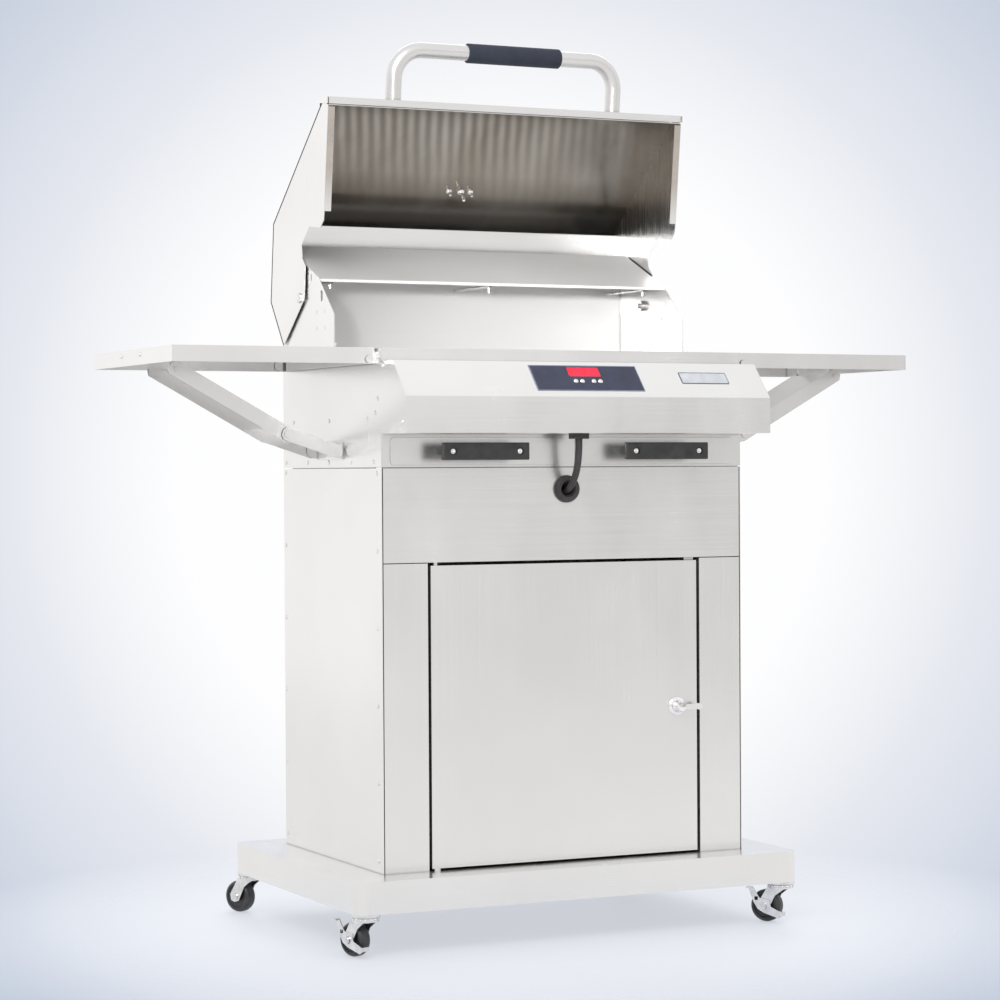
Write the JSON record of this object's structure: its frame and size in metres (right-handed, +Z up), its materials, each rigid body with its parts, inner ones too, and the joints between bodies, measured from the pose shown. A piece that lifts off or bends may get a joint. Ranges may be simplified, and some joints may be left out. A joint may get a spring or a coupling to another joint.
{
  "type": "cabinet cart grill",
  "caption": "Stainless electric grill on a wheeled cabinet: lifting hood, front controls, drip trays, folding side shelves and a power cord.",
  "frame": {"origin": "middle of the footprint on the floor", "axes": "+X to the grill's right as seen from its front, +Y from front to back, +Z up; the hood is open and the shelves are up"},
  "size_m": [1.297, 0.5932, 1.4342],
  "materials": {
    "stainless": "brushed stainless sheet, vertical grain on the door and panels",
    "bright_steel": "drawn stainless wire and screw heads",
    "zinc_plate": "bright zinc plate",
    "chrome": "polished chrome",
    "element_sheath": "dark heat-oxidised sheath",
    "wheel_black": "hard black wheel, satin",
    "handle_black": "fine-textured moulded black",
    "rubber": "dull black rubber",
    "grip_foam": "blue-black foam grip",
    "overlay": "printed dark blue overlay, slightly glossy",
    "display_red": "red display filter",
    "circuit_board": "green lacquered board"
  },
  "bodies": {
    "root": {"back_panels": "stainless", "base_platform": "stainless", "body_front_frame": "stainless", "body_side_panels": "stainless", "cabinet_side_panels": "stainless", "caster_plates": "zinc_plate", "control_box": "stainless", "control_membrane": "overlay", "controller_board": "circuit_board", "cooking_grate": "bright_steel", "cord_coil": "rubber", "cord_gland": "handle_black", "cord_grommet": "rubber", "display_window": "display_red", "element_reflector": "stainless", "firebox_liner": "stainless", "front_stiles": "stainless", "heating_element": "element_sheath", "panel_screws": "bright_steel", "pivot_pins": "bright_steel", "power_cord": "rubber", "power_plug": "rubber", "rack_arms": "bright_steel", "rear_cover": "stainless", "shelf_brackets": "stainless", "tray_runners": "stainless", "upper_front_panel": "stainless"},
    "hood": {"hood_shell": "stainless", "hood_side_plates": "stainless", "hood_front_trim": "stainless", "hood_handle": "stainless", "handle_grip": "grip_foam", "hood_thermometer": "chrome"},
    "door": {"door_panel": "stainless", "latch_rosette": "chrome"},
    "latch": {"latch_lever": "chrome"},
    "tray_left": {"left_drip_tray": "stainless", "left_tray_handle": "handle_black"},
    "tray_right": {"right_drip_tray": "stainless", "right_tray_handle": "handle_black"},
    "shelf_left": {"left_shelf": "stainless"},
    "strut_left": {"left_strut": "stainless"},
    "link_left": {"left_strut_link": "stainless"},
    "shelf_right": {"right_shelf": "stainless"},
    "strut_right": {"right_strut": "stainless"},
    "link_right": {"right_strut_link": "stainless"},
    "button_1": {"control_button_1": "chrome"},
    "button_2": {"control_button_2": "chrome"},
    "button_3": {"control_button_3": "chrome"},
    "button_4": {"control_button_4": "chrome"},
    "swivel_fl": {"caster_fork_fl": "zinc_plate"},
    "wheel_fl": {"caster_wheel_fl": "wheel_black"},
    "brake_fl": {"caster_brake_fl": "zinc_plate"},
    "swivel_fr": {"caster_fork_fr": "zinc_plate"},
    "wheel_fr": {"caster_wheel_fr": "wheel_black"},
    "brake_fr": {"caster_brake_fr": "zinc_plate"},
    "swivel_rl": {"caster_fork_rl": "zinc_plate"},
    "wheel_rl": {"caster_wheel_rl": "wheel_black"},
    "swivel_rr": {"caster_fork_rr": "zinc_plate"},
    "wheel_rr": {"caster_wheel_rr": "wheel_black"}
  },
  "joints": [
    {"name": "hood_hinge", "type": "hinge", "parent": "root", "child": "hood", "pos_m": [0, 0.1254, 1.02], "axis": [1, 0, 0], "range_deg": [0, 83.2]},
    {"name": "door_hinge", "type": "hinge", "parent": "root", "child": "door", "pos_m": [-0.2245, -0.1926, 0.355], "axis": [0, 0, -1], "range_deg": [0, 110]},
    {"name": "latch_turn", "type": "hinge", "parent": "door", "child": "latch", "pos_m": [0.1975, -0.2006, 0.355], "axis": [0, 1, 0], "range_deg": [0, 90]},
    {"name": "left_tray_slide", "type": "slide", "parent": "root", "child": "tray_left", "axis": [0, -1, 0], "range_m": [0, 0.25]},
    {"name": "right_tray_slide", "type": "slide", "parent": "root", "child": "tray_right", "axis": [0, -1, 0], "range_m": [0, 0.25]},
    {"name": "left_shelf_fold", "type": "hinge", "parent": "root", "child": "shelf_left", "pos_m": [-0.3315, 0.0034, 0.9084], "axis": [0, -1, 0], "range_deg": [0, 80]},
    {"name": "left_strut_swing", "type": "hinge", "parent": "shelf_left", "child": "strut_left", "pos_m": [-0.5945, 0.0034, 0.896], "axis": [0, -1, 0], "range_deg": [-1, 34]},
    {"name": "left_link_swing", "type": "hinge", "parent": "root", "child": "link_left", "pos_m": [-0.33, 0.0034, 0.7685], "axis": [0, -1, 0], "range_deg": [-64, 1]},
    {"name": "right_shelf_fold", "type": "hinge", "parent": "root", "child": "shelf_right", "pos_m": [0.3315, 0.0034, 0.9084], "axis": [0, 1, 0], "range_deg": [0, 80]},
    {"name": "right_strut_swing", "type": "hinge", "parent": "shelf_right", "child": "strut_right", "pos_m": [0.5945, 0.0034, 0.896], "axis": [0, 1, 0], "range_deg": [-1, 34]},
    {"name": "right_link_swing", "type": "hinge", "parent": "root", "child": "link_right", "pos_m": [0.33, 0.0034, 0.7685], "axis": [0, 1, 0], "range_deg": [-64, 1]},
    {"name": "button_1_press", "type": "slide", "parent": "root", "child": "button_1", "axis": [0, 0.743, -0.6693], "range_m": [0, 0.0006], "stiffness_N_per_m": 1500, "springref_m": -0.0004},
    {"name": "button_2_press", "type": "slide", "parent": "root", "child": "button_2", "axis": [0, 0.743, -0.6693], "range_m": [0, 0.0006], "stiffness_N_per_m": 1500, "springref_m": -0.0004},
    {"name": "button_3_press", "type": "slide", "parent": "root", "child": "button_3", "axis": [0, 0.743, -0.6693], "range_m": [0, 0.0006], "stiffness_N_per_m": 1500, "springref_m": -0.0004},
    {"name": "button_4_press", "type": "slide", "parent": "root", "child": "button_4", "axis": [0, 0.743, -0.6693], "range_m": [0, 0.0006], "stiffness_N_per_m": 1500, "springref_m": -0.0004},
    {"name": "swivel_fl_turn", "type": "hinge", "parent": "root", "child": "swivel_fl", "pos_m": [-0.3655, -0.2426, 0.06], "axis": [0, 0, 1], "continuous": true},
    {"name": "wheel_fl_roll", "type": "hinge", "parent": "swivel_fl", "child": "wheel_fl", "pos_m": [-0.37351, -0.21998, 0.026], "axis": [-0.9426, -0.3338, 0], "continuous": true},
    {"name": "brake_fl_press", "type": "hinge", "parent": "swivel_fl", "child": "brake_fl", "pos_m": [-0.37351, -0.21998, 0.026], "axis": [-0.9426, -0.3338, 0], "range_deg": [0, 18]},
    {"name": "swivel_fr_turn", "type": "hinge", "parent": "root", "child": "swivel_fr", "pos_m": [0.3655, -0.2426, 0.06], "axis": [0, 0, 1], "continuous": true},
    {"name": "wheel_fr_roll", "type": "hinge", "parent": "swivel_fr", "child": "wheel_fr", "pos_m": [0.35191, -0.22282, 0.026], "axis": [-0.8241, -0.5664, 0], "continuous": true},
    {"name": "brake_fr_press", "type": "hinge", "parent": "swivel_fr", "child": "brake_fr", "pos_m": [0.35191, -0.22282, 0.026], "axis": [-0.8241, -0.5664, 0], "range_deg": [0, 18]},
    {"name": "swivel_rl_turn", "type": "hinge", "parent": "root", "child": "swivel_rl", "pos_m": [-0.3655, 0.2494, 0.06], "axis": [0, 0, 1], "continuous": true},
    {"name": "wheel_rl_roll", "type": "hinge", "parent": "swivel_rl", "child": "wheel_rl", "pos_m": [-0.37732, 0.27029, 0.026], "axis": [-0.8704, -0.4924, 0], "continuous": true},
    {"name": "swivel_rr_turn", "type": "hinge", "parent": "root", "child": "swivel_rr", "pos_m": [0.3655, 0.2494, 0.06], "axis": [0, 0, 1], "continuous": true},
    {"name": "wheel_rr_roll", "type": "hinge", "parent": "swivel_rr", "child": "wheel_rr", "pos_m": [0.35479, 0.27088, 0.026], "axis": [-0.8949, -0.4462, 0], "continuous": true}
  ],
  "couplings": [
    {"joint": "left_strut_swing", "follows": "left_shelf_fold", "ratio": 0.415},
    {"joint": "left_link_swing", "follows": "left_shelf_fold", "ratio": -0.78},
    {"joint": "right_strut_swing", "follows": "right_shelf_fold", "ratio": 0.415},
    {"joint": "right_link_swing", "follows": "right_shelf_fold", "ratio": -0.78}
  ]
}
